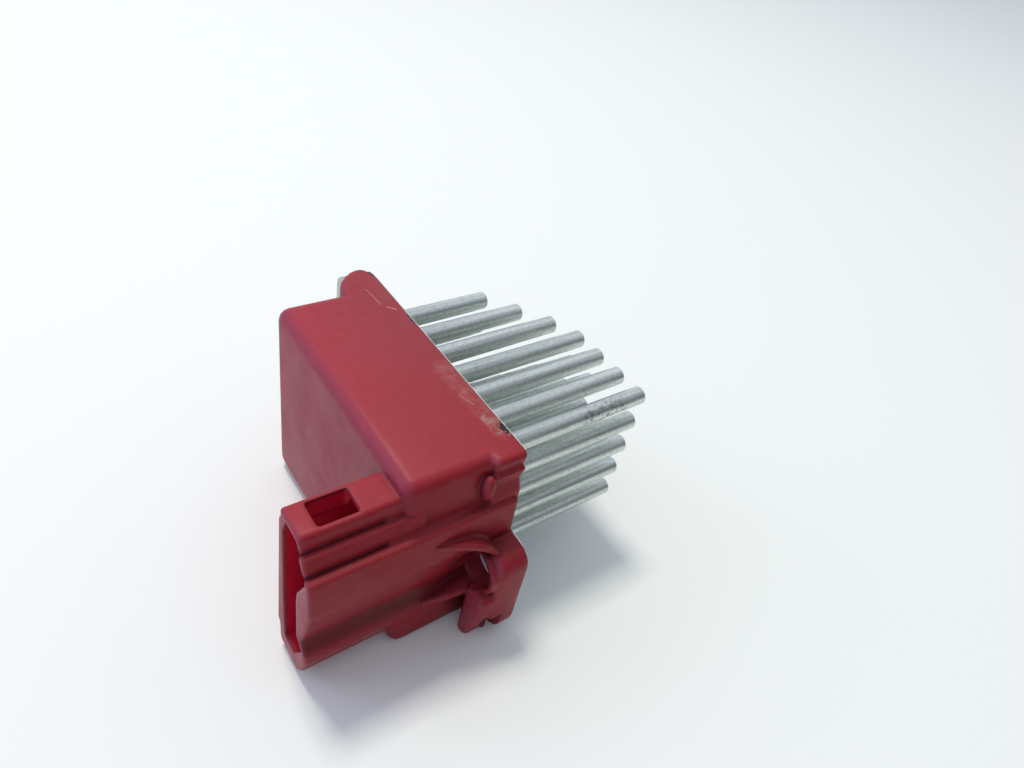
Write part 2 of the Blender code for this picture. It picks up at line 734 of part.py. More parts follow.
def cut_ears(housing):
    """Screw holes, and the round groove that follows the near ear's lower end."""
    rear = FLANGE_REAR - FOOT_LENGTH - CUT_MARGIN
    step = SEAT_FACE - NEAR_BUSH_LENGTH
    profiles = (
        [(rear, EAR_HOLE_RADIUS), (step, EAR_HOLE_RADIUS), (step, NEAR_BUSH_ROOM), (0.0, NEAR_BUSH_ROOM)],
        [(rear, FAR_HOLE_RADIUS), (0.0, FAR_HOLE_RADIUS)],
    )
    for index, profile in enumerate(profiles):
        y, z = ear_places()[index]
        hole = turned(f"ear_hole_form_{index + 1}", profile, 0.0, y, z, "red_plastic")
        combine(housing, hole, "DIFFERENCE")
    edge = EAR_GROOVE_SINK - EAR_REACH
    low = FLANGE_HEIGHT - EAR_GROOVE_SINK
    bend = EAR_END_ROUNDING - EAR_GROOVE_SINK
    path = [(edge, low - EAR_GROOVE_LENGTH)]
    for step in range(7):
        angle = math.pi / 2 * step / 6
        path.append((edge + bend * (1 - math.cos(angle)), low - bend * (1 - math.sin(angle))))
    path.append((edge + FOOT_WIDTH + EAR_GROOVE_RADIUS, low))
    groove = tube(
        "ear_groove_form", [(seat_y(a), seat_z(d)) for a, d in path], EAR_GROOVE_RADIUS,
        FLANGE_FACE - EAR_GROOVE_FROM_FACE, "red_plastic")
    combine(housing, groove, "DIFFERENCE")


def pin_columns():
    """World Y and length of each pin column, from the near end."""
    first = -(NEAR_PIN_COLUMNS - 0.5) * PIN_PITCH_ALONG
    return [(first + index * PIN_PITCH_ALONG, length) for index, length in enumerate(PIN_LENGTHS)]


def pin_mesh(bm, y, z, length):
    """One pin into the edit mesh: root fillet, slight taper and a softened tip."""
    profile = (
        (-PLATE_THICKNESS / 2, PIN_RADIUS + PIN_ROOT_FILLET),
        (0.0, PIN_RADIUS + PIN_ROOT_FILLET),
        (0.3 * PIN_ROOT_FILLET, PIN_RADIUS + 0.3 * PIN_ROOT_FILLET),
        (PIN_ROOT_FILLET, PIN_RADIUS),
        (length - PIN_TIP_CHAMFER, PIN_TIP_RADIUS),
        (length, PIN_TIP_RADIUS - PIN_TIP_CHAMFER),
    )
    rings = []
    for depth, radius in profile:
        rings.append([bm.verts.new((depth, a, b)) for a, b in circle(y, z, radius, PIN_SIDES)])
    bridge(bm, rings)
    bm.faces.new(rings[0])
    bm.faces.new(rings[-1])


def make_heat_sink():
    """One forging: plate with ear lugs, pedestal inside the housing, and the pin field."""
    edge = inset(placed(plate_corners()), PLATE_INSET)
    sink = prism("heat_sink", rounded(edge), -PLATE_THICKNESS, 0.0, "aluminium")
    pedestal = prism(
        "pedestal_form", rounded(cavity_corners(SEAT_GAP)), PEDESTAL_FACE, -PLATE_THICKNESS / 2, "aluminium")
    combine(sink, pedestal, "UNION")
    bm = bmesh.new()
    first_row = (TOP_PIN_ROWS - 0.5) * PIN_PITCH_DOWN
    for column, (y, length) in enumerate(pin_columns()):
        for row in range(PIN_ROWS):
            if (column, row) == OMITTED_PIN:
                continue
            pin_mesh(bm, y, first_row - row * PIN_PITCH_DOWN, length)
    pins = new_object("pin_forms", mesh_from(bm, "pin_forms"), "aluminium")
    combine(sink, pins, "UNION")
    for index, radius in enumerate((SCREW_HOLE_RADIUS, FAR_HOLE_RADIUS)):
        y, z = ear_places()[index]
        hole = turned(
            f"screw_hole_form_{index + 1}", [(-PLATE_THICKNESS - CUT_MARGIN, radius), (CUT_MARGIN, radius)],
            0.0, y, z, "aluminium")
        combine(sink, hole, "DIFFERENCE")
    screw_y, screw_z = clamp_screw_place()
    radius = CLAMP_SCREW_RADIUS + SEAT_GAP
    tapped = turned(
        "clamp_thread_form", [(PEDESTAL_FACE - CUT_MARGIN, radius), (-PLATE_THICKNESS / 2, radius)],
        0.0, screw_y, screw_z, "aluminium")
    combine(sink, tapped, "DIFFERENCE")
    return sink


def transistor_depths():
    """X of the pad, tab and body faces, from the pedestal inwards."""
    pad_face = PEDESTAL_FACE - SEAT_GAP
    tab_face = pad_face - PAD_THICKNESS - SEAT_GAP
    body_face = tab_face - TRANSISTOR_TAB_DEPTH - SEAT_GAP
    return pad_face, tab_face, body_face


def clamp_wall():
    """World Y of the clamp's riser, just past the thermal pad."""
    return seat_y(TRANSISTOR_ALONG) + TRANSISTOR_WIDTH / 2 + PAD_MARGIN + SEAT_GAP


def clamp_screw_place():
    """World Y and Z of the clamp screw, beside the transistor."""
    room = CLAMP_THICKNESS + SEAT_GAP + CLAMP_SCREW_HEAD_RADIUS
    return clamp_wall() + room, seat_z(TRANSISTOR_DOWN) + CLAMP_LIFT


def make_transistor():
    """Tab, resin body, thermal pad and three legs that reach the board."""
    y = seat_y(TRANSISTOR_ALONG)
    z = seat_z(TRANSISTOR_DOWN)
    pad_face, tab_face, body_face = transistor_depths()
    half_width = TRANSISTOR_WIDTH / 2
    half_height = TRANSISTOR_HEIGHT / 2
    pad = rounded(rectangle(
        y - half_width - PAD_MARGIN, y + half_width + PAD_MARGIN,
        z - half_height - PAD_MARGIN, z + half_height + PAD_MARGIN, 0.8))
    prism("thermal_pad", pad, pad_face - PAD_THICKNESS, pad_face, "grey_pad")
    shape = rectangle(y - half_width, y + half_width, z - half_height, z + half_height, 0.6)
    prism("transistor_tab", rounded(shape), tab_face - TRANSISTOR_TAB_DEPTH, tab_face, "copper")
    rear = body_face - TRANSISTOR_BODY_DEPTH
    soft_prism("transistor_body", shape, rear, body_face, "black_resin", 0.4)
    leg_start = body_face - TRANSISTOR_BODY_DEPTH / 2
    for index in range(3):
        middle = y + (index - 1) * LEG_PITCH
        top = z - half_height - SEAT_GAP
        outline = [
            (leg_start + LEG_THICKNESS, top),
            (leg_start, top),
            (leg_start, top - LEG_REACH + LEG_THICKNESS),
            (BOARD_FRONT + SEAT_GAP, top - LEG_REACH + LEG_THICKNESS),
            (BOARD_FRONT + SEAT_GAP, top - LEG_REACH),
            (leg_start + LEG_THICKNESS, top - LEG_REACH),
        ]
        prism(
            f"transistor_leg_{index + 1}", outline, middle - LEG_WIDTH / 2, middle + LEG_WIDTH / 2,
            "tin", axis="Y")


def make_clamp():
    """Spring strip from its screw on the pedestal to the back of the transistor."""
    _, _, body_face = transistor_depths()
    rear = body_face - TRANSISTOR_BODY_DEPTH - SEAT_GAP
    screw_y, screw_z = clamp_screw_place()
    seat = PEDESTAL_FACE - SEAT_GAP
    wall = clamp_wall()
    tip = wall - CLAMP_ARM
    outline = [
        (seat, wall),
        (seat, screw_y + CLAMP_SCREW_HEAD_RADIUS),
        (seat - CLAMP_THICKNESS, screw_y + CLAMP_SCREW_HEAD_RADIUS),
        (seat - CLAMP_THICKNESS, wall + CLAMP_THICKNESS),
        (rear - CLAMP_THICKNESS, wall + CLAMP_THICKNESS),
        (rear - CLAMP_THICKNESS, tip),
        (rear, tip),
        (rear, wall),
    ]
    low = screw_z - CLAMP_WIDTH / 2
    clamp = prism("clamp_spring", outline, low, low + CLAMP_WIDTH, "steel", axis="Z")
    hole_radius = CLAMP_SCREW_RADIUS + SEAT_GAP
    hole = turned(
        "clamp_hole_form", [(-CLAMP_THICKNESS - CUT_MARGIN, hole_radius), (CUT_MARGIN, hole_radius)],
        seat, screw_y, screw_z, "steel", sides=16)
    combine(clamp, hole, "DIFFERENCE")
    head = seat - CLAMP_THICKNESS - SEAT_GAP
    turned(
        "clamp_screw",
        [(0.0, CLAMP_SCREW_HEAD_RADIUS - 0.4), (0.4, CLAMP_SCREW_HEAD_RADIUS),
         (CLAMP_SCREW_HEAD_HEIGHT, CLAMP_SCREW_HEAD_RADIUS),
         (CLAMP_SCREW_HEAD_HEIGHT, CLAMP_SCREW_RADIUS),
         (-head + CLAMP_SCREW_HEAD_HEIGHT - PLATE_THICKNESS / 2 - SEAT_GAP, CLAMP_SCREW_RADIUS)],
        head - CLAMP_SCREW_HEAD_HEIGHT, screw_y, screw_z, "steel", sides=16)


def make_board():
    """Circuit board on two posts, with its screws."""
    board = prism(
        "circuit_board", rounded(cavity_corners(BOARD_EDGE_GAP)), BOARD_REAR, BOARD_FRONT, "board")
    hole_radius = BOARD_SCREW_RADIUS + SEAT_GAP
    head = BOARD_FRONT + SEAT_GAP
    for index, (y, z) in enumerate(board_screw_places()):
        hole = turned(
            f"board_hole_form_{index + 1}",
            [(-CUT_MARGIN, hole_radius), (BOARD_THICKNESS + CUT_MARGIN, hole_radius)],
            BOARD_REAR, y, z, "board", sides=16)
        combine(board, hole, "DIFFERENCE")
        turned(
            f"board_screw_{index + 1}",
            [(-BOARD_SCREW_DEPTH - BOARD_THICKNESS - SEAT_GAP, BOARD_SCREW_RADIUS),
             (0.0, BOARD_SCREW_RADIUS), (0.0, BOARD_SCREW_HEAD_RADIUS),
             (BOARD_SCREW_HEAD_HEIGHT - 0.3, BOARD_SCREW_HEAD_RADIUS),
             (BOARD_SCREW_HEAD_HEIGHT, BOARD_SCREW_HEAD_RADIUS - 0.4)],
            head, y, z, "steel", sides=16)


def make_blades():
    """Two power and two signal blades from the board through the wall into the socket."""
    y = seat_y(BLADE_ALONG)
    for name, width, z in blade_places():
        tip = SOCKET_FLOOR - BLADE_REACH
        rear = BOARD_REAR - SEAT_GAP
        half = width / 2
        outline = [
            (tip, z - half + BLADE_TAPER), (tip + 2 * BLADE_TAPER, z - half), (rear, z - half),
            (rear, z + half), (tip + 2 * BLADE_TAPER, z + half), (tip, z + half - BLADE_TAPER)]
        prism(name, outline, y - BLADE_THICKNESS / 2, y + BLADE_THICKNESS / 2, "tin", axis="Y")


def on_board(name, size, along, down, slot):
    """Box of (height, size along, size down) standing on the board about a place."""
    height, width, length = size
    y = seat_y(along)
    z = seat_z(down)
    foot = BOARD_FRONT + SEAT_GAP
    low = (foot, y - width / 2, z - length / 2)
    high = (foot + height, y + width / 2, z + length / 2)
    return block(name, low, high, slot)


def capacitor_place():
    """Along and down of the capacitor, in the board's upper near corner."""
    near, _, top, _ = inner_rectangle(BOARD_EDGE_GAP + CAPACITOR_RADIUS)
    return near, top + PART_EDGE_GAP


def make_capacitor():
    """Electrolytic can with its rubber bung and two leads, standing on the board."""
    along, down = capacitor_place()
    y = seat_y(along)
    z = seat_z(down)
    start = BOARD_FRONT + 2 * SEAT_GAP
    bung_radius = CAPACITOR_RADIUS - 0.5
    turned(
        "capacitor_bung", [(0.0, bung_radius), (CAPACITOR_BUNG_LENGTH, bung_radius)],
        start, y, z, "rubber")
    turned(
        "capacitor_can",
        [(0.0, CAPACITOR_RADIUS - 0.3), (0.3, CAPACITOR_RADIUS), (1.2, CAPACITOR_RADIUS),
         (1.6, CAPACITOR_RADIUS - 0.4), (2.0, CAPACITOR_RADIUS), (CAPACITOR_LENGTH - 0.5, CAPACITOR_RADIUS),
         (CAPACITOR_LENGTH, CAPACITOR_RADIUS - 0.5)],
        start + CAPACITOR_BUNG_LENGTH + SEAT_GAP, y, z, "aluminium")
    hole_radius = CAPACITOR_LEAD_RADIUS + SEAT_GAP
    for index in range(2):
        lead_z = z + (index - 0.5) * CAPACITOR_LEAD_PITCH
        hole = turned(
            f"capacitor_hole_form_{index + 1}",
            [(-CUT_MARGIN, hole_radius), (BOARD_THICKNESS + CUT_MARGIN, hole_radius)],
            BOARD_REAR, y, lead_z, "board", sides=12)
        combine(bpy.data.objects["circuit_board"], hole, "DIFFERENCE")
        turned(
            f"capacitor_lead_{index + 1}",
            [(-BOARD_THICKNESS - 1.0, CAPACITOR_LEAD_RADIUS), (0.0, CAPACITOR_LEAD_RADIUS)],
            BOARD_FRONT + SEAT_GAP, y, lead_z, "tin", sides=12)


def make_choke():
    """Ferrite drum with its winding in the waist, standing below the capacitor."""
    near, _, _, _ = inner_rectangle(BOARD_EDGE_GAP + CHOKE_RADIUS)
    y = seat_y(near)
    z = seat_z(capacitor_place()[1] + CAPACITOR_RADIUS + PART_EDGE_GAP + CHOKE_RADIUS)
    start = BOARD_FRONT + SEAT_GAP
    turned(
        "choke_core",
        [(0.0, CHOKE_RADIUS), (CHOKE_FLANGE, CHOKE_RADIUS), (CHOKE_FLANGE, CHOKE_WAIST_RADIUS),
         (CHOKE_LENGTH - CHOKE_FLANGE, CHOKE_WAIST_RADIUS), (CHOKE_LENGTH - CHOKE_FLANGE, CHOKE_RADIUS),
         (CHOKE_LENGTH, CHOKE_RADIUS)],
        start, y, z, "ferrite")
    ring(
        "choke_winding", start + CHOKE_FLANGE + SEAT_GAP, start + CHOKE_LENGTH - CHOKE_FLANGE - SEAT_GAP,
        CHOKE_WAIST_RADIUS + SEAT_GAP, WINDING_RADIUS, y, z, "copper")


def row_parts():
    """The columns of the lower row, near end first: (names from the top, size, slot)."""
    return [
        (("temperature_sensor",), SENSOR_SIZE, "ceramic"),
        (("chip_resistor_1", "chip_resistor_2"), CHIP_RESISTOR_SIZE, "black_resin"),
        (("control_chip",), CHIP_SIZE, "black_resin"),
        (("chip_resistor_3", "chip_resistor_4"), CHIP_RESISTOR_SIZE, "black_resin"),
        (("suppressor_diode",), DIODE_SIZE, "black_resin"),
        (("chip_capacitor_1", "chip_capacitor_2"), CHIP_CAPACITOR_SIZE, "ceramic"),
    ]


def make_small_parts():
    """Shunt at the far edge, and a row of chips spread evenly along the lower edge."""
    near, far, _, bottom = inner_rectangle(BOARD_EDGE_GAP + PART_EDGE_GAP)
    on_board("shunt", SHUNT_SIZE, far - SHUNT_SIZE[1] / 2, SHUNT_DOWN, "copper")
    near += BOARD_SCREW_INSET_ALONG + BOARD_SCREW_HEAD_RADIUS
    columns = row_parts()
    widths = [size[1] for _, size, _ in columns]
    gap = (far - near - sum(widths)) / (len(columns) - 1)
    down = bottom - CHIP_SIZE[2] / 2
    for index, (names, size, slot) in enumerate(columns):
        along = near + sum(widths[:index]) + widths[index] / 2 + index * gap
        for place, name in enumerate(names):
            shift = (place - (len(names) - 1) / 2) * (size[2] + PAIR_GAP)
            on_board(name, size, along, down + shift, slot)


def make_bushes():
    """Steel bushes pressed into the ears; the far one's flange covers that ear's plug side."""
    y, z = ear_places()[1]
    rear = FLANGE_REAR + FAR_EAR_STEP - SEAT_GAP
    margin = BUSH_FLANGE_MARGIN
    side = FLANGE_LENGTH + EAR_REACH - margin
    outline = rounded(placed([
        (FLANGE_LENGTH + margin, margin, 0.8),
        (side, margin, EAR_END_ROUNDING - margin),
        (side, FLANGE_HEIGHT - EAR_START - margin, EAR_ROUNDING - margin),
        (FLANGE_LENGTH + margin, FLANGE_HEIGHT - EAR_START - margin, 0.8),
    ]))
    bush = prism("far_ear_bush", outline, rear - BUSH_FLANGE_THICKNESS, rear, "steel")
    outer = FAR_HOLE_RADIUS - SEAT_GAP
    sleeve = turned(
        "bush_sleeve_form", [(rear - BUSH_FLANGE_THICKNESS / 2, outer), (SEAT_FACE, outer)],
        0.0, y, z, "steel")
    combine(bush, sleeve, "UNION")
    bore = outer - FAR_BUSH_WALL
    hole = turned(
        "bush_bore_form", [(rear - BUSH_FLANGE_THICKNESS - CUT_MARGIN, bore), (0.0, bore)],
        0.0, y, z, "steel")
    combine(bush, hole, "DIFFERENCE")
    y, z = ear_places()[0]
    bore = SCREW_HOLE_RADIUS
    ring(
        "near_ear_bush", SEAT_FACE - NEAR_BUSH_LENGTH, SEAT_FACE, bore, bore + NEAR_BUSH_WALL, y, z, "steel")


def main():
    """Build every piece."""
    for item in list(bpy.data.objects):
        bpy.data.objects.remove(item, do_unlink=True)
    root = bpy.data.objects.new("blower_motor_resistor", None)
    bpy.context.scene.collection.objects.link(root)
    make_housing()
    make_heat_sink()
    bead_body("sealing_bead", 0.0, 0.0)
    make_transistor()
    make_clamp()
    make_board()
    make_blades()
    make_capacitor()
    make_choke()
    make_small_parts()
    make_bushes()


main()
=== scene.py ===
"""Blower motor resistor: finish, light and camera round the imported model."""

import json
import math

import bmesh
import bpy
from mathutils import Matrix, Vector


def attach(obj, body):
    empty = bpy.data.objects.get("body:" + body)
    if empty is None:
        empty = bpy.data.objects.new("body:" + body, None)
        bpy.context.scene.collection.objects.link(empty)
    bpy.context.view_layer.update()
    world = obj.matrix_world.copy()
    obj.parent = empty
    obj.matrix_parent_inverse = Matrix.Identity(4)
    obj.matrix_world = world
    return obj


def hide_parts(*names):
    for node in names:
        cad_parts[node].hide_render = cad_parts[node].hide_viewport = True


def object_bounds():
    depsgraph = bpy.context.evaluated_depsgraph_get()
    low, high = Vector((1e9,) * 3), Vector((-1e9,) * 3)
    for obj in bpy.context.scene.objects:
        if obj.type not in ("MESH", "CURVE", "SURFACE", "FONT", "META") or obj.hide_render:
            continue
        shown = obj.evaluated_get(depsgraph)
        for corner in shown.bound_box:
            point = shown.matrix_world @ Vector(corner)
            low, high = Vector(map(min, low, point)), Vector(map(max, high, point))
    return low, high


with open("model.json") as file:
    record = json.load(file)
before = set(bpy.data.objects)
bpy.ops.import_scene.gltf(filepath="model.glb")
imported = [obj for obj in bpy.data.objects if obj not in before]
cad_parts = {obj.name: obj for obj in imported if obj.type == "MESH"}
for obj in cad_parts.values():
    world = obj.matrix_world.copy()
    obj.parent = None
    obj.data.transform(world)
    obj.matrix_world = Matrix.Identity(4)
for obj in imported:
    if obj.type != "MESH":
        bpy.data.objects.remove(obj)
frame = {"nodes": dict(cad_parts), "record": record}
CAD_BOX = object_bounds()

MILLIMETRE = 0.001

# Shading of the CAD nodes
JOIN_DISTANCE = 0.00001
STEEP_ANGLE = 34
EDGE_WIDTH = 0.2 * MILLIMETRE

# Camera, from the perspective of the photograph
CAMERA_PLACE = (-0.07188, -0.09477, 0.11769)
CAMERA_VIEW = (0.53388, 0.54831, -0.64368)
CAMERA_ROLL = 13.90
CAMERA_LENS = 25.84
SENSOR_WIDTH = 36.0

# Floor and surroundings
FLOOR_SIZE = 6.0
FLOOR_HEX = "f1f6f3"
BACKDROP_HEX = "f6f9f8"
SKY_HEX = "e9eefd"
ROOM_HEX = "5a5859"
SKY_STRENGTH = 0.74
BRIGHT_SIDE = (-0.35, 0.62, 0.70)

# Lamps: one high behind the object, and a window at its left
CEILING_LAMP = {"place": (-0.06, 0.39, 1.25), "size": 0.24, "power": 8.6, "code": "fff9ea"}
WINDOW_LAMP = {"place": (-0.72, 0.52, 0.52), "size": 0.5, "power": 1.7, "code": "cfd0ff"}

# Marks on the red moulding: (start, end, half width), in millimetres
SCRATCHES = (
    ((-5.3, 25.8, 22.4), (-4.9, 19.8, 22.4), 0.22),
    ((-4.0, 18.4, 22.4), (-2.6, 16.9, 22.4), 0.30),
    ((-4.6, -12.0, 22.4), (-3.4, -15.4, 22.4), 0.16),
)
DIRT_SPOTS = (
    ((-1.5, -22.6, 22.4), (-0.9, -25.0, 22.0), 0.8),
    ((-0.9, 14.0, 22.4), (-0.8, 11.5, 22.4), 0.5),
    ((-4.8, 34.4, 22.2), (-2.2, 33.8, 22.4), 0.9),
    ((-1.6, 33.4, 22.4), (-0.8, 30.4, 22.4), 0.6),
)
# Valley under the plug's belly, painted darker: painted shade
VALLEY_SHADE = ((-43.0, -29.0, -11.0), (-9.5, -29.0, -12.0), 3.2)
RUBBED_EDGE = ((-3.0, -4.0, 22.4), (-2.0, -23.4, 22.4), 3.0)
RUBBED_PATCH = ((-2.9, -18.6, 22.4), (-2.2, -24.0, 22.4), 1.5)

# Rooms of the moulding: the socket keeps its first colour, the ear hole is painted darker as shade, in
# millimetres
SOCKET_LOW = (-43.4, -27.6, -20.0)
SOCKET_HIGH = (-27.0, -18.9, 19.0)
EAR_HOLE_CENTRE = (-32.9, -5.2)
EAR_HOLE_START = (-11.0, -32.9, -4.4)
EAR_HOLE_END = (0.0, -32.9, -4.4)
EAR_HOLE_REACH = 5.4

# Bush of the near ear, with its collar: (x, radius) round its wall, in millimetres
BUSH_WALL = (
    (-5.3, 3.1), (-5.3, 4.5), (-4.1, 4.5), (-4.1, 3.7), (-1.9, 3.7), (-1.9, 3.1),
)
BUSH_STEPS = 48
BUSH_EDGE = 0.15

# Rounded top of the far ear: (x, y) round its upper side, in millimetres
# Its inner end dips under the body's top
SHOULDER_OUTLINE = (
    (-10.3, 23.0), (-10.3, 27.6), (-9.9, 29.3), (-8.9, 31.0), (-7.3, 32.5), (-5.7, 33.6),
    (-4.1, 34.1), (-2.8, 34.0), (-1.7, 33.3), (-1.2, 31.8), (-1.0, 30.0), (-1.0, 23.0),
)
SHOULDER_TOP = 22.42
SHOULDER_DIP = 0.2
SHOULDER_INNER_END = 25.0
SHOULDER_SOFTNESS = 1.1
SHOULDER_FOOT = (-6.0, 27.0, 0.0)
SHOULDER_STEPS = ((5.0, 1.0), (7.0, 0.12))

# Pitted patch low on the long pins nearest to the camera
PITTED_START = (19.0, -25.5, 18.6)
PITTED_END = (27.0, -25.5, 18.6)
PITTED_WIDTH = 2.6


# Masks: the span that leaves a factor as it is, the full core and the play of a stroke, a box's soft edge
FULL = (0.0, 1.0)
STROKE_CORE = 0.4
STROKE_RAGGED = 0.6
BOX_BLUR = 0.2 * MILLIMETRE

# Red moulding: radius of its edges, and how far a wall shelters a corner, which is painted darker as shade
MOULD_RADIUS = 1.1 * MILLIMETRE
SHELTER_REACH = 7 * MILLIMETRE

# Sockets of the colour mix
UNDER = 6
OVER = 7
MIXED = 2


def colour(code):
    """Linear RGBA of an sRGB hex colour."""
    parts = [int(code[index:index + 2], 16) / 255 for index in (0, 2, 4)]
    linear = [part / 12.92 if part <= 0.04045 else ((part + 0.055) / 1.055) ** 2.4 for part in parts]
    return (*linear, 1.0)


def node(tree, kind, inputs=None, **settings):
    """Shader node with its settings; inputs gives a socket its value or its incoming link."""
    made = tree.nodes.new("ShaderNode" + kind)
    for name, value in settings.items():
        setattr(made, name, value)
    for name, value in (inputs or {}).items():
        if isinstance(value, bpy.types.NodeSocket):
            tree.links.new(value, made.inputs[name])
        else:
            made.inputs[name].default_value = value
    return made


def span(low, high, least=0.0, most=1.0):
    """Socket values that stretch low..high to least..most."""
    return {"From Min": low, "From Max": high, "To Min": least, "To Max": most}


def blank_material(name, metallic):
    """Empty material with one Principled shader; gives the tree, the shader and the coordinates."""
    made = bpy.data.materials.new(name)
    made.use_nodes = True
    tree = made.node_tree
    tree.nodes.clear()
    shader = node(tree, "BsdfPrincipled", {"Metallic": metallic})
    node(tree, "OutputMaterial", {"Surface": shader.outputs[0]})
    place = node(tree, "TexCoord").outputs["Object"]
    return made, tree, shader, place


def mottling(tree, place, size, limits=FULL, detail=3.0, roughness=0.5, stretch=(1, 1, 1)):
    """Mask of noise with features of about size metres; limits are the values that become 0 and 1."""
    scale = node(tree, "Mapping", {"Vector": place, "Scale": [1 / (size * part) for part in stretch]})
    made = node(
        tree, "TexNoise",
        {"Vector": scale.outputs[0], "Scale": 1.0, "Detail": detail, "Roughness": roughness})
    return node(tree, "MapRange", {"Value": made.outputs["Fac"], **span(*limits)}).outputs[0]


def overlap(tree, *parts):
    """Mask that holds where all parts do; a part is a factor and the span that it is stretched by."""
    mask = None
    for factor, limits in parts:
        share = node(tree, "MapRange", {"Value": factor, **span(*limits)}).outputs[0]
        mask = node(tree, "Math", {0: mask, 1: share}, operation="MULTIPLY").outputs[0] if mask else share
    return mask


def coated(tree, base, coats):
    """Colour with coats over it; a coat is a mask, its limits, its strength and a colour."""
    for mask, limits, strength, coat in coats:
        share = node(tree, "MapRange", {"Value": mask, **span(*limits, 0.0, strength)}).outputs[0]
        top = colour(coat) if isinstance(coat, str) else coat
        made = node(tree, "Mix", {"Factor": share, UNDER: base, OVER: top}, data_type="RGBA")
        base = made.outputs[MIXED]
    return base


def stroke(tree, place, start, end, width, ragged=None):
    """Mask that is 1 on the line between two points in millimetres and 0 beyond the width."""
    start = Vector(start) * MILLIMETRE
    along = Vector(end) * MILLIMETRE - start
    width = width * MILLIMETRE
    away = node(tree, "VectorMath", {0: place, 1: start}, operation="SUBTRACT").outputs[0]
    reach = node(tree, "VectorMath", {0: away, 1: along}, operation="DOT_PRODUCT").outputs["Value"]
    share = node(tree, "MapRange", {"Value": reach, **span(0.0, along.length_squared)}).outputs[0]
    onto = node(tree, "VectorMath", {0: along, "Scale": share}, operation="SCALE").outputs[0]
    off = node(tree, "VectorMath", {0: away, 1: onto}, operation="DISTANCE").outputs["Value"]
    if ragged:
        play = STROKE_RAGGED * width
        shift = node(tree, "MapRange", {"Value": ragged, **span(0.3, 0.7, -play, play)}).outputs[0]
        off = node(tree, "Math", {0: off, 1: shift}, operation="ADD").outputs[0]
    return node(tree, "MapRange", {"Value": off, **span(width, STROKE_CORE * width)}).outputs[0]


def within(tree, axes, low, high):
    """Mask that is 1 inside a box given by its corners in millimetres."""
    sides = []
    for axis, least, most in zip("XYZ", low, high):
        middle = (least + most) / 2 * MILLIMETRE
        half = (most - least) / 2 * MILLIMETRE
        off = node(tree, "Math", {0: axes[axis], 1: middle}, operation="SUBTRACT").outputs[0]
        off = node(tree, "Math", {0: off}, operation="ABSOLUTE").outputs[0]
        sides.append((off, (half, half - BOX_BLUR)))
    return overlap(tree, *sides)


def streaks(tree, place, low, high):
    """Fine scuffing drawn along Y, in lines about 0.4 mm wide and 5 mm long that fade in and out."""
    drawn = mottling(tree, place, 0.4 * MILLIMETRE, FULL, 5.0, 0.7, (1, 12, 1))
    faded = mottling(tree, place, 2.5 * MILLIMETRE, (0.35, 0.65), 4.0, 0.7)
    return overlap(tree, (drawn, (0.25, 0.75, low, high)), (faded, FULL))


